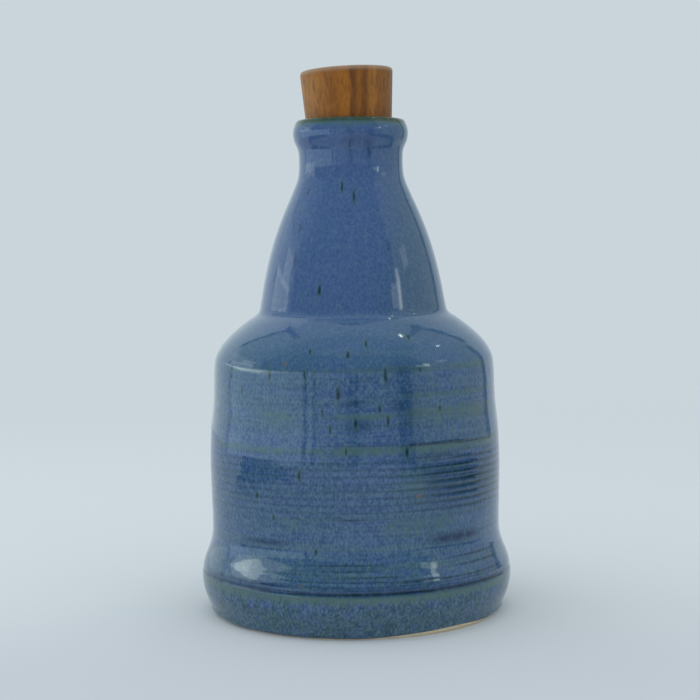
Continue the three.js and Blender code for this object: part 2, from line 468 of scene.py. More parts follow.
foot_at = int(np.flatnonzero(clay_line[:, 1] < WELD)[-1])
foot_line = smooth_outline(clay_line[foot_at : foot_at + FOOT_CORNERS], lambda height: FINE_STEP) / MM
foot_way = way_along(foot_line)
edge_way = float(np.interp(outer_line[0, 1] / MM, foot_line[:, 1], foot_way))

bare = np.cos(np.clip((degrees - BARE_MIDDLE) / BARE_HALF, -1, 1) * math.pi / 2) ** 2
creep = FOOT_CREEP - (FOOT_CREEP + BARE_RISE) * bare
for size, count, phase in EDGE_WAVES:
    creep = creep + size * np.sin(count * angle + phase)


def creep_down(radius, height):
    """Slides the lowest rings along the clay's outline, over the corner of its bevel."""
    way = np.interp(height / MM, foot_line[:, 1], foot_way)
    share = np.clip(1 - (way - edge_way) / CREEP_REACH, 0, 1) ** 2
    slid = way - np.where(radius > WALL_ONLY, share, 0) * creep
    moved = []
    for place, column in ((radius, foot_line[:, 0]), (height, foot_line[:, 1])):
        moved.append(place + (np.interp(slid, foot_way, column) - np.interp(way, foot_way, column)) * MM)
    return moved


outer_radius, outer_height = creep_down(
    outer_line[:, :1] + normal[:, :1] * relief * MM, outer_line[:, 1:] + normal[:, 1:] * relief * MM
)
inner_radius, inner_height = creep_down(
    np.repeat(inner_line[:, :1], GLAZE_COLUMNS, 1), np.repeat(inner_line[:, 1:], GLAZE_COLUMNS, 1)
)
edge = outer_height[0] / MM
print("the glaze's lower edge is", round(edge.min(), 2), "to", round(edge.max(), 2), "mm up")

# %% [markdown]
# The mesh is a closed shell: a fine outer face with every mark in it, and a coarse inner face on the clay.
# The marks are stored on it as three values, so that the paint follows the relief exactly.

# %% Make the glaze skin
HOLLOW_POWER = 0.8  # below 1, so that the chatter's hollows are dark to their sides


def with_inside(grid):
    """The outer face's values with nothing stored on the inner face."""
    return np.vstack([grid, np.zeros(inner_radius.shape)])


hollows = np.clip(-comb, 0, 1) ** HOLLOW_POWER
glaze = turned_piece(
    "glaze_skin",
    np.vstack([outer_radius, inner_radius]),
    np.vstack([outer_height, inner_height]),
    closed=True,
    green=with_inside(green_marks),
    dark=with_inside(np.maximum(dark_and_reflection_marks, hollows)),
    pool=with_inside(pool_and_reflection_marks),
)
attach(glaze, "bottle")
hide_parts("glaze_coat")

# %% [markdown]
# ## The clay pot
# Under the glaze is pale fired clay, which shows on the foot, underneath and at the edge of the glaze.
# A trimming tool leaves fine turning lines underneath, and fingers leave soft rings inside.
# Both are waves along the outline: by radius on the underside and by height on the inner wall.

# %% Make the clay pot
CLAY_COLUMNS = 180
CLAY_STEP = 1.2 * MM
TRIM_SPACING = 1.7  # mm
TRIM_DEPTH = 0.05  # mm
TRIM_RADIUS = 44  # mm
UNDERSIDE_TOP = 1.3  # mm
FINGER_SPACING = 8.0  # mm
FINGER_DEPTH = 0.25  # mm
FINGER_HEIGHTS = (12, 170)  # mm

clay_points = smooth_outline(clay_line, lambda height: CLAY_STEP)
clay_normal = outline_normals(clay_points)
clay_radius, clay_height = clay_points[:, :1] / MM, clay_points[:, 1:] / MM
row = np.arange(len(clay_points))[:, None]
inner = row > int(np.argmax(clay_height))
trimmed = (clay_height < UNDERSIDE_TOP) & (clay_radius < TRIM_RADIUS) & ~inner
fingered = inner & (clay_height > FINGER_HEIGHTS[0]) & (clay_height < FINGER_HEIGHTS[1])
trim_lines = TRIM_DEPTH * wave(clay_radius, TRIM_SPACING) * trimmed
finger_rings = FINGER_DEPTH * wave(clay_height, FINGER_SPACING, around(CLAY_COLUMNS)) * fingered
clay_relief = (trim_lines + finger_rings) * MM
clay = turned_piece(
    "clay_pot",
    clay_points[:, :1] + clay_normal[:, :1] * clay_relief,
    clay_points[:, 1:] + clay_normal[:, 1:] * clay_relief,
    closed=False,
    inside=np.repeat(inner.astype(float), CLAY_COLUMNS, 1),
)
clay.data.set_sharp_from_angle(angle=SHARP_TURN)
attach(clay, "bottle")
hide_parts("bottle_body")

# %% [markdown]
# ## The stopper
# The stopper is turned from one piece of hardwood and sits a little crooked in the mouth.
# Its joint gives the axis that it leans along, so the outline is read in that leaning frame.
# Sanding by hand leaves it a few hundredths out of round, which keeps its gloss from looking drawn.

# %% Make the stopper
STOPPER_COLUMNS = 144
STOPPER_STEP = 0.6 * MM
OUT_OF_ROUND = 0.03 * MM
LOBES = 3
LOBE_PHASE = 1
RIM_HEIGHT = 1.5  # mm
RIM_WIDTH = 2.0  # mm
RIM_SOFTNESS = (0.2, 0.4)  # mm down the side and across the top

twist = next(joint for joint in frame["joints"] if joint["name"] == "stopper_twist")
axis = Vector(twist["axis"]).normalized()
side = Vector((0, 1, 0)).cross(axis).normalized()
leaning = Matrix((side, axis.cross(side), axis)).transposed().to_4x4()
leaning.translation = twist["pos_m"]

stopper_points = smooth_outline(seam_outline("stopper", leaning), lambda height: STOPPER_STEP)
stopper_radius, stopper_height = stopper_points[:, :1], stopper_points[:, 1:]
sanded = OUT_OF_ROUND * np.sin(LOBES * around(STOPPER_COLUMNS) + LOBE_PHASE) * (stopper_radius > 0)
below_top = (stopper_height.max() - stopper_height) / MM
from_side = (stopper_radius.max() - stopper_radius) / MM
# Where the top's rounded rim takes the painted reflection of the roof.
rim = rise(RIM_HEIGHT - below_top, RIM_SOFTNESS[0]) * rise(RIM_WIDTH - from_side, RIM_SOFTNESS[1])
stopper = turned_piece(
    "wood_stopper",
    stopper_radius + np.abs(outline_normals(stopper_points)[:, :1]) * sanded,
    np.repeat(stopper_height, STOPPER_COLUMNS, 1),
    closed=False,
    stand=leaning,
    rim=np.repeat(rim, STOPPER_COLUMNS, 1),
)
stopper.data.set_sharp_from_angle(angle=SHARP_TURN)
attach(stopper, "stopper")
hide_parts("stopper")

# %% [markdown]
# ## The ring
# A soft ring in the stopper's groove keeps the water in; it shows only when the stopper is out.
# Its outer face bulges, and its outline is a closed loop, so the last ring of points joins the first.

# %% Make the ring
RING_COLUMNS = 96
RING_STEP = 0.25 * MM

ring_points = smooth_outline(seam_outline("seal_ring", leaning), lambda height: RING_STEP)
ring = turned_piece(
    "soft_ring",
    np.repeat(ring_points[:, :1], RING_COLUMNS, 1),
    np.repeat(ring_points[:, 1:], RING_COLUMNS, 1),
    closed=True,
    stand=leaning,
)
ring.data.set_sharp_from_angle(angle=SHARP_TURN)
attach(ring, "seal")
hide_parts("seal_ring")

# %% [markdown]
# ## Sums on shader sockets
# A material is a sum over the surface, and a sum reads best as an expression.
# So this class wraps a socket: adding or multiplying two of them adds the Math node for it.
# The reflected operators are for a plain number on the left, as in 1 - z.

# %% Write shader sums as Python
class Wire:
    """A socket that carries a number, colour or vector through a node tree."""

    def __init__(self, paint, socket):
        self.paint = paint
        self.socket = socket

    def math(self, operation, *values):
        return self.paint.node("ShaderNodeMath", {"operation": operation}, dict(enumerate((self, *values))))

    def __add__(self, other):
        return self.math("ADD", other)

    def __sub__(self, other):
        return self.math("SUBTRACT", other)

    def __mul__(self, other):
        return self.math("MULTIPLY", other)

    def __truediv__(self, other):
        return self.math("DIVIDE", other)

    def __rsub__(self, other):
        return self.paint.node("ShaderNodeMath", {"operation": "SUBTRACT"}, {0: other, 1: self})

    __radd__ = __add__
    __rmul__ = __mul__

    def smooth(self, low, high):
        """0 below low, 1 above high and a soft step between them."""
        return self.paint.node(
            "ShaderNodeMapRange",
            {"interpolation_type": "SMOOTHSTEP"},
            {"Value": self, "From Min": low, "From Max": high},
        )

    def bearing(self, y):
        """With this as x, the turn from the front to (x, y) in radians, positive to the right."""
        return self.math("ARCTAN2", 0 - y)


print("a wire answers to", [name for name in vars(Wire) if callable(getattr(Wire, name))])

# %% [markdown]
# The other class is the node tree.
# Every kind of node comes from its one method, node: its settings first and then its sockets.
# The methods after it give names to the few nodes that are used over and over.

# %% Wire a node tree
class Paint:
    """A node tree being wired."""

    def __init__(self, tree):
        self.tree = tree
        tree.nodes.clear()

    def node(self, kind, settings=None, sockets=None, output=0):
        made = self.tree.nodes.new(kind)
        for name, value in (settings or {}).items():
            if name == "stops":
                self.set_stops(made.color_ramp, value)
            else:
                setattr(made, name, value)
        for name, value in (sockets or {}).items():
            if isinstance(value, Wire):
                self.tree.links.new(value.socket, made.inputs[name])
            else:
                made.inputs[name].default_value = value
        return Wire(self, made.outputs[output]) if made.outputs else made

    def set_stops(self, ramp, stops):
        while len(ramp.elements) < len(stops):
            ramp.elements.new(1.0)
        for element, (position, colour) in zip(ramp.elements, stops):
            element.position = position
            element.color = colour

    def mix(self, factor, first, second):
        """From the first colour to the second as the factor goes from 0 to 1."""
        return self.node(
            "ShaderNodeMix",
            {"data_type": "RGBA", "clamp_factor": True},
            {0: factor, 6: first, 7: second},
            output=2,
        )

    def layered(self, ground, *coats):
        """The ground under coats of colour; each says where it lies, how strong it is and its colour."""
        for where, strength, colour in coats:
            ground = self.mix(where * strength, ground, colour)
        return ground

    def blend(self, factor, first, second):
        """From the first shader to the second as the factor goes from 0 to 1."""
        return self.node("ShaderNodeMixShader", {}, {0: factor, 1: first, 2: second})

    def stretched(self, vector, scale):
        """A vector with each part multiplied by its own number."""
        return self.node("ShaderNodeVectorMath", {"operation": "MULTIPLY"}, {0: vector, 1: scale})

    def length(self, vector):
        return self.node("ShaderNodeVectorMath", {"operation": "LENGTH"}, {0: vector}, output="Value")

    def parts(self, vector):
        """The three numbers of a vector."""
        apart = self.node("ShaderNodeSeparateXYZ", {}, {0: vector}).socket.node
        return [Wire(self, socket) for socket in apart.outputs]

    def place(self):
        """Where a point of the piece is, in millimetres."""
        return self.stretched(self.node("ShaderNodeTexCoord", output="Object"), (1 / MM, 1 / MM, 1 / MM))

    def noise(self, vector, scale, detail=2.0):
        """Noise with as many blotches for each millimetre as the scale gives, along x, y and z."""
        sockets = {"Vector": self.stretched(vector, scale), "Scale": 1.0, "Detail": detail}
        return self.node("ShaderNodeTexNoise", {}, sockets)

    def stored(self, label):
        """A value that the mesh holds at each point."""
        return self.node("ShaderNodeAttribute", {"attribute_name": label}, output="Fac")

    def bump(self, height, distance, strength):
        """A normal for a fine relief; the distance is the metres in each unit of height."""
        sockets = {"Strength": strength, "Distance": distance, "Height": height}
        return self.node("ShaderNodeBump", {}, sockets)

    def show(self, **values):
        """Ends the material in a Principled shader with these values on its sockets."""
        sockets = {}
        for name, value in values.items():
            sockets[name.replace("_", " ").title().replace("Ior", "IOR")] = value
        shader = self.node("ShaderNodeBsdfPrincipled", {}, sockets)
        self.node("ShaderNodeOutputMaterial", {}, {"Surface": shader})
        print(len(self.tree.nodes), "nodes")


def finish_for(piece, name):
    """A new material on a piece, ready to be wired."""
    material = bpy.data.materials.new(name)
    material.use_nodes = True
    piece.data.materials.append(material)
    return Paint(material.node_tree)


def linear(red, green, blue):
    """A colour as a paint chart gives it, 0 to 255, as the light that Blender works in."""
    chart = np.array([red, green, blue]) / 255
    light = np.where(chart <= 0.04045, chart / 12.92, ((chart + 0.055) / 1.055) ** 2.4)
    return (*light.tolist(), 1.0)


print("white is", linear(255, 255, 255))

# %% [markdown]
# ## The glaze's finish
# A glaze like this is a glass with iron and titanium in it, which curdle into fine specks as it cools.
# From a step away that is one blue, but closer it is grains of pale teal, deep blue and violet.
# Noise at several scales gives the grains, the clouds and the faint lines that the wheel left.

# %% Paint the glaze's ground
BLUE = linear(58, 91, 132)
VIOLET = linear(66, 92, 144)
TEAL = linear(58, 95, 113)
PALE_TEAL = linear(84, 116, 138)
DEEP_BLUE = linear(34, 64, 104)
CONE_BLUE = linear(67, 93, 140)
CONE_TEAL = linear(60, 92, 114)
FOOT_TEAL = linear(56, 88, 97)
MOSS = linear(50, 84, 82)
CONE_HEIGHTS = (106.0, 124.0)  # mm over which the body's colour becomes the cone's
SMOOTH_ABOVE = (96.0, 104.0)  # mm over which the specks and the wheel's lines get fainter
CONE_RIGHT = (6.0, 24.0)  # mm to the right of the axis over which the cone gets greener
FOOT_BAND = (15.0, 18.5)  # mm

paint = finish_for(glaze, "blue_glaze")
spot = paint.place()
x, y, z = paint.parts(spot)
on_cone = z.smooth(*CONE_HEIGHTS)
on_foot = 1 - z.smooth(*FOOT_BAND)
on_shoulder = z.smooth(*SMOOTH_ABOVE)
speckle = 1.35 - 0.7 * on_shoulder + 0.5 * on_foot
wheel_lines = (1 - on_foot) * (1 - 0.8 * on_shoulder)
grain = paint.noise(spot, (1.2, 1.2, 0.75), detail=4.0)
mottle = paint.noise(spot, (0.45, 0.45, 0.3), detail=3.0)
curdle = paint.noise(spot, (0.3, 0.3, 0.2), detail=3.0)
cloud = paint.noise(spot, (0.06, 0.06, 0.045))
layer = paint.noise(spot, (0.015, 0.015, 0.45))
hairline = 0.5 + (paint.noise(spot, (0.06, 0.06, 1.2)) - 0.5) * wheel_lines

colour = paint.layered(
    BLUE,
    (cloud.smooth(0.4, 0.62), 0.75, VIOLET),
    (layer.smooth(0.42, 0.62), 0.2 + 0.4 * wheel_lines, TEAL),
    (hairline.smooth(0.5, 0.66), 0.35, PALE_TEAL),
    ((1 - hairline).smooth(0.5, 0.66), 0.3, DEEP_BLUE),
    (on_cone, 0.8, CONE_BLUE),
    (on_cone * x.smooth(*CONE_RIGHT), 0.75, CONE_TEAL),
    (on_foot, 0.75, FOOT_TEAL),
    (on_shoulder * (1 - on_cone), 0.35, TEAL),
    (on_foot * curdle.smooth(0.5, 0.62), 0.75, VIOLET),
    (on_foot * (1 - curdle).smooth(0.5, 0.62), 0.7, MOSS),
    (mottle.smooth(0.48, 0.7) * speckle, 0.4, PALE_TEAL),
    (grain.smooth(0.42, 0.8) * speckle, 0.6, PALE_TEAL),
    ((1 - grain).smooth(0.4, 0.78) * speckle, 0.55, DEEP_BLUE),
)
print(len(paint.tree.nodes), "nodes so far")

# %% [markdown]
# The stored marks come next: green where the glaze is thin, deep blue where it pooled and where dark
# reflections are painted, dark in the grooves.
# A mark with an even edge would look printed, so noise that is stretched upright breaks it into short runs.

# %% Paint the marks
GREEN = linear(71, 102, 98)
POOL_AND_REFLECTION_BLUE = linear(10, 46, 86)
DARK_GREEN = linear(8, 40, 52)
LIP_GREEN = linear(48, 66, 44)
LIP_TOP = (192.9, 194.5)  # mm

upright_runs = paint.noise(spot, (0.7, 0.7, 0.22), detail=3.0).smooth(0.3, 0.7)
blotches = mottle.smooth(0.35, 0.65)
green = paint.stored("green") * (0.5 + 0.5 * upright_runs + 0.5 * blotches)
colour = paint.layered(
    colour,
    (green.smooth(0.1, 1.0), 1.0 - 0.35 * grain, GREEN),
    # The pools, and the painted reflections among them, in deep blue.
    (paint.stored("pool"), 0.5 + 0.6 * blotches, POOL_AND_REFLECTION_BLUE),
    (paint.stored("dark"), 0.6 + 0.5 * upright_runs, DARK_GREEN),
    (z.smooth(*LIP_TOP), 0.6 + 0.4 * upright_runs, LIP_GREEN),
)
print(len(paint.tree.nodes), "nodes so far")

# %% [markdown]
# Iron specks in the clay melt into the glaze and run down as short dark drips, a millimetre wide.
# Each one below has its angle, its height, its length and its width, as do the fainter ones on the cone
# and three spots of rust. The back gets its own drips at random.
# The one at 0.4 degrees and 80.4 mm is no drip but a painted reflection of the camera.

# %% List the drips
DRIPS_AND_PAINTED_REFLECTION = [
    (-34, 98.0, 5.0, 1.3),
    (-19, 98.4, 4.5, 0.9),
    (12, 97.4, 6.0, 1.4),
    (-49, 91.5, 4.0, 0.9),
    (-6, 91.4, 6.0, 1.5),
    (-2.2, 105.6, 3.0, 1.2),
    (5.3, 109.3, 2.8, 1.0),
    (25, 111.2, 2.2, 1.3),
    (-17.7, 106.7, 2.0, 0.9),
    (26, 99.4, 2.4, 0.9),
    (9.5, 85.6, 3.0, 1.2),
    (34.4, 84.8, 2.6, 1.2),
    (12.5, 81.0, 4.6, 1.1),
    (-12, 84.8, 3.0, 0.7),
    (-9, 78.3, 4.0, 0.8),
    # Painted reflection of the camera, drawn like a drip.
    (0.4, 80.4, 4.4, 1.3),
    (-3.2, 70.2, 3.0, 0.9),
    (19.4, 69.4, 5.0, 1.3),
    (-21, 61.1, 4.4, 1.5),
    (38.7, 62.7, 3.0, 0.9),
    (-39.6, 52.6, 2.4, 1.4),
    (-15, 33.0, 2.4, 1.2),
    (-32, 45.0, 2.6, 0.9),
    (-44, 10.0, 3.6, 1.2),
    (-8.8, 168.3, 4.4, 0.9),
    (2.4, 164.4, 5.0, 0.9),
    (-20.5, 128.8, 4.6, 1.3),
]
FAINT_DRIPS = [
    (-47, 175.0, 6.5, 1.4),
    (-45, 167.5, 5.0, 1.4),
    (-42, 152.5, 5.0, 1.6),
    (-41, 141.0, 7.0, 1.5),
    (26, 145.0, 5.0, 1.2),
    (-0.6, 184.4, 5.0, 1.0),
    (20, 182.5, 5.0, 1.2),
]
RUST_SPOTS = [(-27, 102.3, 2.0, 1.6), (23.9, 52.8, 1.4, 3.0), (-20, 20.7, 1.4, 1.2)]
BACK_DRIPS = 30
BACK_BANDS = [(26, 66), (66, 104), (66, 104), (125, 178)]  # mm; the upper body gets twice as many
BACK_TURNS = (70, 178)  # degrees to the left or the right
BACK_LENGTHS = (2.4, 5.5)  # mm
BACK_WIDTHS = (0.9, 1.5)  # mm

for _ in range(BACK_DRIPS):
    band = chance.choice(BACK_BANDS)
    at_angle = chance.uniform(*BACK_TURNS) * chance.choice((-1, 1))
    at_height = chance.uniform(*band)
    DRIPS_AND_PAINTED_REFLECTION.append((at_angle, at_height, chance.uniform(*BACK_LENGTHS), chance.uniform(*BACK_WIDTHS)))
print(len(DRIPS_AND_PAINTED_REFLECTION), "drips")

# %% [markdown]
# The wall is unrolled into a flat sheet, with the turn round the axis along it and the height up it.
# Each drip is an ellipse there: one Vector Math node moves and scales the sheet until it is a circle.
# The radius at its height turns its width into an angle.
# The shortest of all the lengths that come out belongs to the nearest drip.

# %% Paint the drips
RUST = linear(104, 92, 82)
DRIP_SHAPE = (1.6, 1.8)  # a drip's width and length, where its ellipse has half axes of 1

sheet = paint.node("ShaderNodeCombineXYZ", {}, {0: x.bearing(y), 1: z})
rising = outer_line[: int(np.argmax(outer_line[:, 1])) + 1] / MM


def nearest(marks, ragged):
    """How far the nearest ellipse of a list is, 0 in its middle, with an edge that the grain breaks."""
    found = None
    for at_angle, at_height, length, width in marks:
        wall_radius = float(np.interp(at_height, rising[:, 1], rising[:, 0]))
        scale = (DRIP_SHAPE[0] * wall_radius / width, DRIP_SHAPE[1] / length, 0)
        middle = (-math.radians(at_angle) * scale[0], -at_height * scale[1], 0)
        sockets = {0: sheet, 1: scale, 2: middle}
        far = paint.length(
            paint.node("ShaderNodeVectorMath", {"operation": "MULTIPLY_ADD"}, sockets)
        )
        found = far if found is None else found.math("MINIMUM", far)
    return found + (grain - 0.5) * ragged


drip_and_reflection_distance = nearest(DRIPS_AND_PAINTED_REFLECTION, ragged=0.7)
colour = paint.layered(
    colour,
    (1 - drip_and_reflection_distance.smooth(0.7, 2.0), 0.4, GREEN),
    (1 - drip_and_reflection_distance.smooth(0.1, 1.25), 0.9, DARK_GREEN),
    (1 - nearest(FAINT_DRIPS, ragged=0.7).smooth(0.0, 1.4), 0.4, DARK_GREEN),
    (1 - nearest(RUST_SPOTS, ragged=0.8).smooth(0.4, 1.1), 0.7, RUST),
)
print(len(paint.tree.nodes), "nodes so far")

# %% [markdown]
# A glaze's face is glass, so its roughness is close to none, and its gloss comes from the shader alone.
# It isn't flat like a window, though: it sags into a faint peel, and each speck stands a few microns proud.
# Both make mirrored edges waver, and the bump takes their heights in millimetres.

# %% Finish the glaze
PEEL_HEIGHT = 0.03  # mm
SPECK_HEIGHT = 0.006  # mm

peel = paint.noise(spot, (0.25, 0.25, 0.12), detail=1.0)
wet_face = PEEL_HEIGHT * peel + SPECK_HEIGHT * grain
paint.show(
    base_color=colour,
    roughness=0.04 + 0.05 * mottle,
    ior=1.5,
    normal=paint.bump(wet_face, distance=MM, strength=1.0),
)

# %% [markdown]
# ## The clay's finish
# Bare stoneware is cream, dry to the touch and freckled with grog, so it is rough and has a fine bump.
# The inside of a water bottle is lined with glaze, so there the same material turns blue-grey and smooth.

# %% Paint the clay
CLAY = linear(226, 213, 184)
CLAY_DARK = linear(198, 178, 142)
LINER = linear(84, 104, 124)

paint = finish_for(clay, "bare_clay")
spot = paint.place()
grog = paint.noise(spot, (0.9, 0.9, 0.9), detail=3.0)
toasted = paint.noise(spot, (0.06, 0.06, 0.06))
lined = paint.stored("inside")
colour = paint.layered(
    CLAY,
    (grog.smooth(0.4, 0.75), 0.5, CLAY_DARK),
    (toasted.smooth(0.4, 0.7), 0.4, CLAY_DARK),
)
paint.show(
    base_color=paint.mix(lined, colour, LINER),
    roughness=0.85 - 0.75 * lined,
    normal=paint.bump(grog, distance=0.1 * MM, strength=0.3),
)

# %% [markdown]
# ## The wood
# Hardwood is made of flat growth layers, and a stopper turned upright cuts them as upright stripes.
# So the colour is a ramp along one direction across the wood, bent by noise, with two dark streaks.
# Fibres and pores are noise that is stretched far along the grain; oil leaves the whole with a satin sheen.
# The rim of its top is a painted reflection of the pale roof, pale and grey, where the mesh stores a value of
# its own.

# %% Paint the wood
WOOD_STOPS = [
    (0.0, linear(158, 104, 34)),
    (0.28, linear(160, 106, 38)),
    (0.38, linear(152, 96, 30)),
    (0.45, linear(142, 86, 18)),
    (0.52, linear(158, 98, 16)),
    (0.575, linear(158, 100, 16)),
    (0.605, linear(120, 70, 8)),
    (0.64, linear(116, 66, 8)),
    (0.685, linear(142, 88, 10)),
    (0.73, linear(134, 80, 8)),
    (0.765, linear(114, 66, 10)),
    (0.80, linear(148, 94, 24)),
    (0.87, linear(160, 104, 32)),
    (0.93, linear(138, 88, 22)),
    (1.0, linear(134, 86, 22)),
]
WOOD_DARK = linear(82, 46, 14)
WOOD_PORE = linear(56, 30, 12)
PAINTED_RIM_REFLECTION = linear(158, 140, 120)
WOOD_WIDTH = 40.0  # mm across the layers that the ramp covers
WOOD_LEFT = 22.0  # mm from the ramp's start to the bottle's axis
LAYER_TURN = 0.35  # mm that a layer shifts for each mm towards the back
LAYER_LEAN = 0.04  # mm that it shifts for each mm up
LAYER_WAVER = 3.0  # mm
FIBRE_WAVER = 2.0  # mm

paint = finish_for(stopper, "oiled_wood")
spot = paint.place()
x, y, z = paint.parts(spot)
waver = paint.noise(spot, (0.12, 0.12, 0.05))
flame = paint.noise(spot, (0.5, 0.5, 0.2), detail=4.0)
fibre = paint.noise(spot, (2.2, 2.2, 0.08))
pore = paint.noise(spot, (4.5, 4.5, 0.35), detail=1.0)
bent = (waver - 0.5) * LAYER_WAVER + (fibre - 0.5) * FIBRE_WAVER
depth = (x + LAYER_TURN * y + LAYER_LEAN * z + bent + WOOD_LEFT) / WOOD_WIDTH
colour = paint.layered(
    paint.node("ShaderNodeValToRGB", {"stops": WOOD_STOPS}, {"Fac": depth}),
    (flame.smooth(0.42, 0.7), 0.4, WOOD_DARK),
    (fibre.smooth(0.45, 0.7), 0.3, WOOD_DARK),
    (pore.smooth(0.6, 0.75), 0.5, WOOD_PORE),
    # Painted reflection of the pale roof on the top's rounded rim.
    (paint.stored("rim"), 0.3 + 0.7 * flame, PAINTED_RIM_REFLECTION),
)
paint.show(
    base_color=colour,
    roughness=0.42 + 0.15 * fibre,
    specular_ior_level=0.35,
    normal=paint.bump(fibre, distance=0.1 * MM, strength=0.25),
)

# %% [markdown]
# ## The ring's finish
# Silicone is milky: light goes a little way in before it comes out, which Subsurface gives.
# A faint haze in its colour and gloss keeps it from looking like paint.

# %% Paint the ring
MILKY = linear(222, 220, 210)
HAZY = linear(206, 203, 192)

paint = finish_for(ring, "milky_silicone")
haze = paint.noise(paint.place(), (0.4, 0.4, 0.4))
paint.show(
    base_color=paint.mix(haze, MILKY, HAZY),
    roughness=0.4 + 0.15 * haze,
    subsurface_weight=0.2,
)

# %% [markdown]
# ## The tent
# Gloss shows what it mirrors, so what stands round the bottle matters as much as its paint.
# It is a light tent: a pale back, low white boards at the sides with dark gaps, and seams at its corners.
# Above the boards the front is the unlit room with the camera in it, so the middle of the glaze is deepest.
# Three rings of panels say all that: low down, above the boards and under the roof.
# Each panel has the turns that it stands between, from the camera's side and positive to the right.
# A colour ramp runs from one to the next.

# %% Lay out the tent
TENT_LEVEL = 1.5  # the light of a ramp colour of 1
PALE_BACK = (0.43, 0.49, 0.53, 1)
LEFT_BACK = (0.54, 0.63, 0.62, 1)
LEFT_BOARD = (0.66, 0.84, 0.92, 1)
NARROW_BOARD = (0.56, 0.70, 0.78, 1)
RIGHT_BOARD = (0.32, 0.34, 0.32, 1)
FRONT = (0.22, 0.25, 0.32, 1)
FRONT_LEFT = (0.36, 0.42, 0.50, 1)
ROOM = (0.06, 0.07, 0.08, 1)
GAP = (0.02, 0.02, 0.03, 1)
SEAM = (0.09, 0.10, 0.13, 1)
LEFT_SEAM = (0.34, 0.42, 0.46, 1)
LEFT_SIDE = (0.36, 0.44, 0.42, 1)

LOW_RING = [
    (-180, -180, PALE_BACK),
    (-160, -121, LEFT_BACK),
    (-119, -116, LEFT_SEAM),
    (-114, -41, LEFT_BOARD),
    (-40.2, -38, GAP),
    (-37.2, -34, NARROW_BOARD),
    (-33.2, -31.2, GAP),
    (-30.4, -30.4, FRONT_LEFT),
    (-6, -6, FRONT),
    (-2, 3, GAP),
    (4, 34, FRONT),
    (35.5, 45.5, GAP),
    (47, 126, RIGHT_BOARD),
    (128, 133, SEAM),
    (135, 180, PALE_BACK),
]
HIGH_RING = [
    (-180, -180, PALE_BACK),
    (-160, -127, LEFT_BACK),
    (-125, -122, LEFT_SEAM),
    (-120, -86, LEFT_SIDE),
    (-82, 58, ROOM),
    (62, 126, RIGHT_BOARD),
    (128, 133, SEAM),
    (136, 180, PALE_BACK),
]
TOP_RING = [
    (-180, -180, PALE_BACK),
    (-160, -138, LEFT_BACK),
    (-137, -134.5, GAP),
    (-133.5, -105, LEFT_SIDE),
    (-60, 58, ROOM),
    (62, 135, RIGHT_BOARD),
    (136, 139, GAP),
    (140, 180, PALE_BACK),
]


def round_the_horizon(paint, x, y, panels):
    """The tent's light in the direction (x, y), from a ring of panels."""
    stops = []
    for first, last, colour in panels:
        for turn in sorted({first, last}):
            stops.append((turn / 360 + 0.5, colour))
    share = x.bearing(y) / (2 * math.pi) + 0.5
    ramp = paint.node("ShaderNodeValToRGB", {"stops": stops}, {"Fac": share})
    return paint.stretched(ramp, (TENT_LEVEL, TENT_LEVEL, TENT_LEVEL))


print("the tent's rings have", len(LOW_RING), len(HIGH_RING), "and", len(TOP_RING), "panels")

# %% [markdown]
# ## The floor
# The bottle stands on a pale sweep of paper that rises behind it, so the floor has no far edge.
# Near the bottle the floor is plain diffuse paper and takes the shadow.
# Far away it takes the backdrop's exact colour.

# %% Lay the floor
BACKDROP = linear(202, 213, 219)
FLOOR_FRONT = linear(190, 200, 209)
FLOOR_BEHIND = linear(201, 212, 218)
FLOOR_HALF = 4.0  # m
SWEEP = (-0.13, 0.03)  # m behind the bottle's axis over which the paper gets paler
FAR_AWAY = (0.35, 1.0)  # m
PAPER_GLOW = 0.1  # how much of its light the paper passes from below

bpy.context.scene.view_settings.view_transform = "Standard"

floor_mesh = bpy.data.meshes.new("floor")
corners = [(i * FLOOR_HALF, j * FLOOR_HALF, 0) for i, j in ((-1, -1), (1, -1), (1, 1), (-1, 1))]
floor_mesh.from_pydata(corners, [], [(0, 1, 2, 3)])
floor = bpy.data.objects.new("floor", floor_mesh)
bpy.context.collection.objects.link(floor)

paint = finish_for(floor, "pale_floor")
where = paint.node("ShaderNodeTexCoord", output="Object")
x, y, z = paint.parts(where)
far = paint.length(where)
paper_colour = paint.mix(y.smooth(*SWEEP), FLOOR_FRONT, FLOOR_BEHIND)
paper = paint.node("ShaderNodeBsdfDiffuse", {}, {"Color": paper_colour})
backdrop = paint.node("ShaderNodeEmission", {}, {"Color": BACKDROP})
surface = paint.blend(PAPER_GLOW + (1 - PAPER_GLOW) * far.smooth(*FAR_AWAY), paper, backdrop)
print("floor", 2 * FLOOR_HALF, "m wide")

# %% [markdown]
# Two black cards lie on the paper to the left and right, out of the picture, as beside any glossy thing.
# Only mirrored rays see them, and the tent's boards beyond them, so they take no light from the bottle.
# For that the factor of each one's Mix Shader is Light Path's Is Glossy Ray times its place.
# A card gets blacker away from the bottle: the lip looks down at its near end and should mirror little of it.

# %% Add what only mirrored rays see
CARDS = [(-0.28, -0.85, -0.40, 0.07), (0.28, 0.85, -0.62, 0.12)]  # m, near and far end, front and back
CARD_BLACK = linear(12, 12, 14)
CARD_EDGE = 0.015  # m
CARD_FADE = 0.14  # m over which a card fades towards the bottle
CARD_END = 1.02  # where its far end is over, for a far end at 1
BOARDS = (0.85, 0.87)  # m

mirrored = paint.node("ShaderNodeLightPath", output="Is Glossy Ray")


def card_at(near, far_end, front, back):
    """Where a card lies, from 0 to 1; its near end fades."""
    starts = x.smooth(near, near + math.copysign(CARD_FADE, near))
    ends = x.smooth(far_end, far_end * CARD_END)
    return starts * (1 - ends) * y.smooth(front, front + CARD_EDGE) * (1 - y.smooth(back - CARD_EDGE, back))


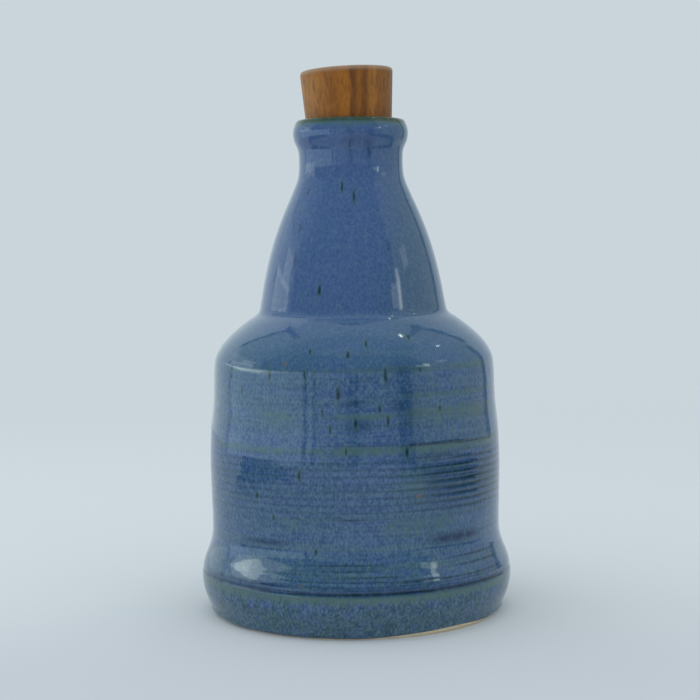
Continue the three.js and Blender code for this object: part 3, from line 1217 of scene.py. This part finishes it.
card = card_at(*CARDS[0]) + card_at(*CARDS[1])
black = paint.node("ShaderNodeBsdfDiffuse", {}, {"Color": CARD_BLACK})
boards = paint.node("ShaderNodeEmission", {}, {"Color": round_the_horizon(paint, x, y, LOW_RING)})
surface = paint.blend(mirrored * card, surface, black)
surface = paint.blend(mirrored * far.smooth(*BOARDS), surface, boards)
paint.node("ShaderNodeOutputMaterial", {}, {"Surface": surface})
print(len(CARDS), "cards")

# %% [markdown]
# ## The lamps
# The lamps are placed by the shape of their highlights on the cone and the shoulder.
# Those are seen by mirrored rays alone; two more give plain light and show in no highlight.
# Each has its turn, its height, its width and how tall it is, all in degrees, and how bright its face is.

# %% Hang the lamps
LAMP_DISTANCE = 1.0  # m
MIRROR_TINT = (0.90, 1.02, 0.95)

MIRRORED_LAMPS = [
    ("left_window", -108, 19, 34, 12, 0.3),
    ("left_window_edge", -97, 17.5, 15, 9, 0.75),
    ("left_window_low", -103.5, 11.6, 31, 6.2, 0.85),
    ("right_lamp", 61, 18, 4, 9, 2.6),
    ("right_lamp_low", 57, 16.5, 13, 5, 1.3),
    ("right_lamp_upper", 78, 24, 9, 6, 0.9),
    ("ceiling_spot", 112.8, 66.6, 2.8, 1.3, 16.0),
    ("ceiling_spot_right", 105.4, 46.1, 1.8, 1.8, 12.0),
]
PLAIN_LAMPS = [
    ("left_fill", -95, 25, 60, 50, 0.45),
    ("top_softbox", 0, 80, 60, 60, 0.35),
]


def flat_lamp(name, width, tall, radiance, mirrored):
    """A lamp that only mirrored rays see, or one that they don't."""
    lamp = bpy.data.lights.new(name, "AREA")
    lamp.shape = "RECTANGLE"
    lamp.size = width
    lamp.size_y = tall
    lamp.energy = radiance * math.pi * lamp.size * lamp.size_y
    if mirrored:
        lamp.color = MIRROR_TINT
    holder = bpy.data.objects.new(name, lamp)
    holder.visible_camera = False
    holder.visible_diffuse = not mirrored
    holder.visible_glossy = mirrored
    bpy.context.collection.objects.link(holder)
    print(name, round(lamp.energy, 2), "W")
    return holder


def softbox(name, azimuth, elevation, across, tall, radiance, mirrored):
    """A lamp that faces the bottle; azimuth 0 is the camera's side and 90 the right."""
    sides = [2 * LAMP_DISTANCE * math.tan(math.radians(span / 2)) for span in (across, tall)]
    holder = flat_lamp(name, *sides, radiance, mirrored)
    a, e = math.radians(azimuth), math.radians(elevation)
    towards = Vector((math.sin(a) * math.cos(e), -math.cos(a) * math.cos(e), math.sin(e)))
    holder.location = Vector((0, 0, cad_high.z / 2)) + towards * LAMP_DISTANCE
    holder.rotation_mode = "QUATERNION"
    holder.rotation_quaternion = (-towards).to_track_quat("-Z", "Y")


for lamp_row in MIRRORED_LAMPS:
    softbox(*lamp_row, mirrored=True)
for lamp_row in PLAIN_LAMPS:
    softbox(*lamp_row, mirrored=False)

# %% [markdown]
# The swell near the foot mirrors one more thing on the left: the underside of a white shelf.
# A level lamp shines downwards only, so the neck and the cone, which are above it, don't see it at all.
# Two of them, a wide dim one and a small bright one, give the highlight a soft edge.

# %% Hang the shelf
SHELF_HEIGHT = 0.125  # m
SHELF_GAP = 0.001  # m between the bright lamp and the dim one above it


def shelf(name, height, left, right, front, back, radiance):
    """A level lamp that only mirrored rays see, between two sides and two edges in metres."""
    holder = flat_lamp(name, right - left, back - front, radiance, mirrored=True)
    holder.location = ((left + right) / 2, (front + back) / 2, height)


shelf("shelf_wide", SHELF_HEIGHT + SHELF_GAP, -0.80, -0.21, -0.20, 0.13, 1.05)
shelf("shelf_core", SHELF_HEIGHT, -0.48, -0.25, -0.11, 0.07, 2.15)

# %% [markdown]
# ## The world
# The tent closes round the bottle as the world: its rings of panels, one above the other.
# Its pale roof hangs behind the bottle; in front of that is the room's ceiling.
# The shoulder mirrors the corner seams and the roof's two dark ribs as thin dark arcs.
# Diffuse rays get one plain level instead, so that a colour renders about as it is written.
# The camera itself sees only the backdrop's colour.

# %% Put up the tent
WORLD_LEVEL = 0.93
BOARD_TOP = (7.5, 9.5)  # degrees above the horizon
UPPER_SEAMS = (26.0, 31.0)  # degrees over which the upper seams take over from the lower ones
ROOF_EDGE = (56.0, 59.0)  # degrees
ROOF_FRONT = (0.06, 0.14)  # how far back of straight up the roof starts
ROOF = (0.56, 0.62, 0.66, 1)
CEILING = (0.32, 0.34, 0.40, 1)
RIB_FOOT = (50.0, 53.0)  # degrees
RIB_FRONT = (0.20, 0.24)  # how far back of straight up a rib starts
RIB_INSIDE = (0.38, 0.39)  # how far to the side it starts
RIB_OUTSIDE = (0.42, 0.43)  # and ends

world = bpy.data.worlds.new("studio")
bpy.context.scene.world = world
world.use_nodes = True
paint = Paint(world.node_tree)
x, y, z = paint.parts(paint.node("ShaderNodeTexCoord", output="Generated"))
elevation = z.math("ARCSINE") * math.degrees(1)
low_ring = round_the_horizon(paint, x, y, LOW_RING)
high_ring = round_the_horizon(paint, x, y, HIGH_RING)
top_ring = round_the_horizon(paint, x, y, TOP_RING)
tent = paint.mix(elevation.smooth(*BOARD_TOP), low_ring, high_ring)
tent = paint.mix(elevation.smooth(*UPPER_SEAMS), tent, top_ring)
overhead = paint.mix(y.smooth(*ROOF_FRONT), CEILING, ROOF)
tent = paint.mix(elevation.smooth(*ROOF_EDGE), tent, overhead)
aside = x.math("ABSOLUTE")
rib = aside.smooth(*RIB_INSIDE) * (1 - aside.smooth(*RIB_OUTSIDE))
tent = paint.mix(rib * y.smooth(*RIB_FRONT) * elevation.smooth(*RIB_FOOT), tent, GAP)
plain = (WORLD_LEVEL, WORLD_LEVEL, WORLD_LEVEL, 1)
seen = paint.mix(paint.node("ShaderNodeLightPath", output="Is Glossy Ray"), plain, tent)
seen = paint.mix(paint.node("ShaderNodeLightPath", output="Is Camera Ray"), seen, BACKDROP)
light = paint.node("ShaderNodeBackground", {}, {"Color": seen, "Strength": 1.0})
paint.node("ShaderNodeOutputWorld", {}, {"Surface": light})
print("plain level", WORLD_LEVEL)

# %% [markdown]
# ## The size
# The dressed bottle has to stay as large as its solids, whose box is printed where they are loaded.
